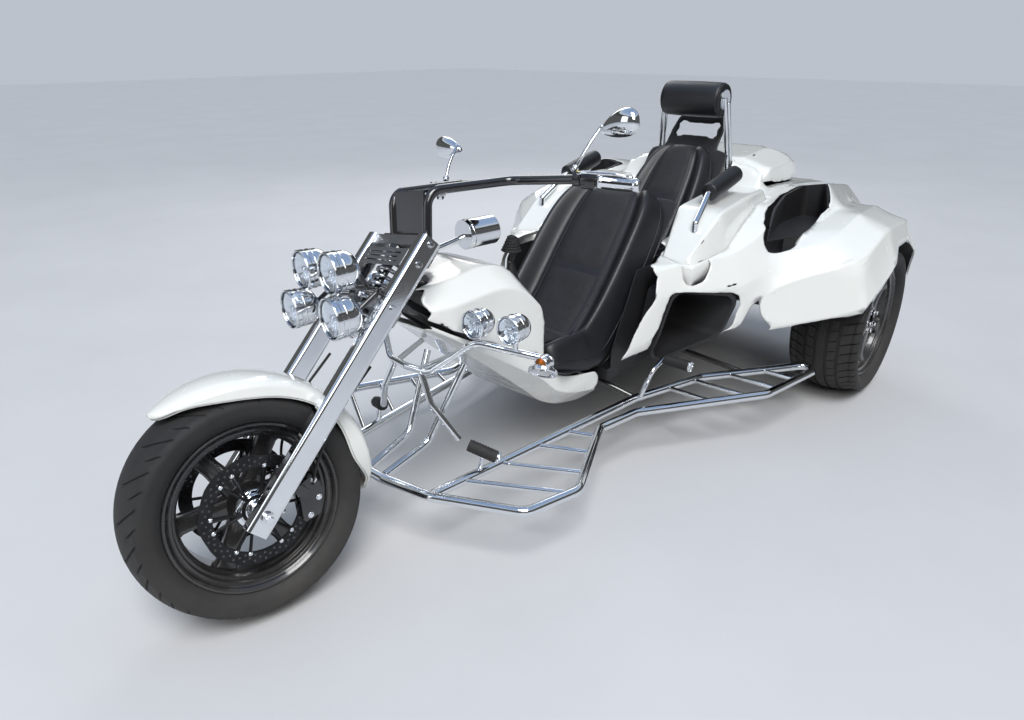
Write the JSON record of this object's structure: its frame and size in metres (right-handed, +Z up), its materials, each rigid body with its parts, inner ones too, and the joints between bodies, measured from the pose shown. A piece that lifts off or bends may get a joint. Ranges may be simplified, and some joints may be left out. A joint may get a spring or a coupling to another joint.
{
  "type": "motorized trike",
  "caption": "Three-wheeled motorcycle with a raked chrome fork, a one-piece white body, two seats in line and tubular side guards; wheels, steering and luggage lid move.",
  "frame": {"origin": "on the ground under the middle of the trike's length and width", "axes": "+X towards the front wheel, +Y to the rider's left, +Z up"},
  "size_m": [3.2927, 1.8458, 1.2902],
  "materials": {
    "tyre": "matt",
    "black_alloy": "satin",
    "disc_steel": "brushed",
    "chrome": "polished",
    "cast_silver": "satin",
    "clear_lens": "clear",
    "white_paint": "gloss",
    "black_metal": "gloss",
    "black_plastic": "matt",
    "rubber_grip": "matt",
    "mirror": "polished",
    "seat_leather": "satin",
    "amber_lens": "clear",
    "red_lens": "clear",
    "engine_metal": "matt"
  },
  "bodies": {
    "chassis": {"frame": "black_metal", "front_fairing": "white_paint", "body_shell": "white_paint", "body_liners": "black_plastic", "arch_liners": "black_plastic", "consoles": "white_paint", "luggage_tub": "black_plastic", "driver_seat": "seat_leather", "passenger_seat": "seat_leather", "seat_shells": "black_plastic", "rest_pads": "seat_leather", "rest_frames": "chrome", "side_guards": "chrome", "foot_pegs": "rubber_grip", "gear_lever": "black_plastic", "side_lamp_bar": "chrome", "side_lamp_cans": "chrome", "side_lamp_lenses": "clear_lens", "indicator_lenses": "amber_lens", "rear_lamps": "red_lens", "rear_axle": "black_metal", "drive_blocks": "engine_metal", "exhausts": "chrome", "plate_holder": "black_plastic"},
    "steering": {"fork_legs": "chrome", "fork_clamps": "cast_silver", "fork_spring": "chrome", "fork_lamp_cans": "chrome", "fork_lamp_lenses": "clear_lens", "lamp_bracket": "black_metal", "front_fender": "white_paint", "brake_calipers": "black_metal", "handlebar": "black_metal", "grips": "chrome", "mirror_shells": "chrome", "mirror_glass": "mirror", "instrument_can": "chrome"},
    "front_wheel": {"front_tyre": "tyre", "front_rim": "black_alloy", "front_discs": "disc_steel"},
    "rear_wheel_left": {"rear_tyre_left": "tyre", "rear_rim_left": "black_alloy"},
    "rear_wheel_right": {"rear_tyre_right": "tyre", "rear_rim_right": "black_alloy"},
    "luggage_lid": {"luggage_lid": "white_paint"}
  },
  "joints": [
    {"name": "steering_head", "type": "hinge", "parent": "chassis", "child": "steering", "pos_m": [0.77069, 0, 0.755], "axis": [-0.7133, 0, 0.7009], "range_deg": [-21, 49]},
    {"name": "front_wheel_spin", "type": "hinge", "parent": "steering", "child": "front_wheel", "pos_m": [1.33131, -0.01935, 0.31291], "axis": [0.1696, 0.9703, 0.1726], "continuous": true},
    {"name": "rear_wheel_left_spin", "type": "hinge", "parent": "chassis", "child": "rear_wheel_left", "pos_m": [-1.16731, 0.7525, 0.33], "axis": [0, 1, 0], "continuous": true},
    {"name": "rear_wheel_right_spin", "type": "hinge", "parent": "chassis", "child": "rear_wheel_right", "pos_m": [-1.16731, -0.7525, 0.33], "axis": [0, 1, 0], "continuous": true},
    {"name": "luggage_lid_hinge", "type": "hinge", "parent": "chassis", "child": "luggage_lid", "pos_m": [-1.46531, 0, 0.872], "axis": [0, -1, 0], "range_deg": [0, 70]}
  ]
}
